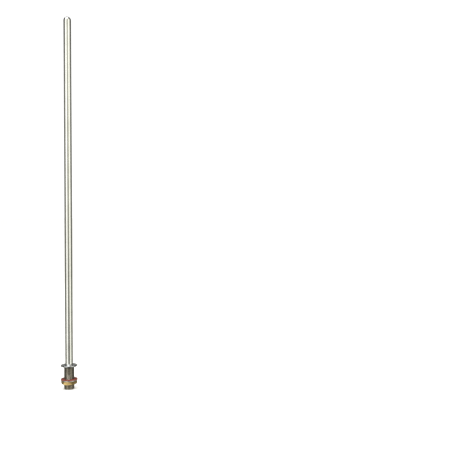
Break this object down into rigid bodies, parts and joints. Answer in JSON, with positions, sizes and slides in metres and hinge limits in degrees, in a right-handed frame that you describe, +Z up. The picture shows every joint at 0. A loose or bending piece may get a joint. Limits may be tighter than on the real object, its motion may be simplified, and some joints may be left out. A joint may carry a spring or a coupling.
{
  "type": "laboratory upright rod and flush bench socket",
  "caption": "Plain upright support rod with a round tip, standing in a tapered flush socket that a lock nut and washers hold in a bench top.",
  "frame": {"origin": "on the rod's axis, in the plane of the bench's upper face, which is the underside of the gasket", "axes": "+Z up along the rod's axis towards its round tip; X and Y lie in the bench's face and two of the nut's corners are on X"},
  "size_m": [0.0412, 0.0412, 0.9292],
  "materials": {
    "rod_aluminium": "bright drawn and polished along its length",
    "socket_chrome": "bright chrome plate over turned brass",
    "gasket_rubber": "matt moulded black rubber",
    "washer_fibre": "dull red hard fibre board",
    "washer_zinc": "pressed steel, clear zinc plate",
    "nut_brass": "machined brass, unplated"
  },
  "bodies": {
    "socket": {"socket_body": "socket_chrome", "flange_gasket": "gasket_rubber"},
    "rod": {"upright_rod": "rod_aluminium"},
    "washers": {"fibre_washer": "washer_fibre", "steel_washer": "washer_zinc", "lock_washer": "washer_zinc"},
    "nut": {"lock_nut": "nut_brass"}
  },
  "joints": [
    {"name": "rod_lift", "type": "slide", "parent": "socket", "child": "rod", "axis": [0, 0, 1], "range_m": [0, 0.055]},
    {"name": "washer_drop", "type": "slide", "parent": "socket", "child": "washers", "axis": [0, 0, -1], "range_m": [0, 0.0118]},
    {"name": "nut_turn", "type": "hinge", "parent": "washers", "child": "nut", "pos_m": [0, 0, -0.04], "axis": [0, 0, -1], "range_deg": [0, 2340]}
  ],
  "couplings": [
    {"joint": "washer_drop", "follows": "nut_turn", "m_per_rad": 0.00028875}
  ]
}
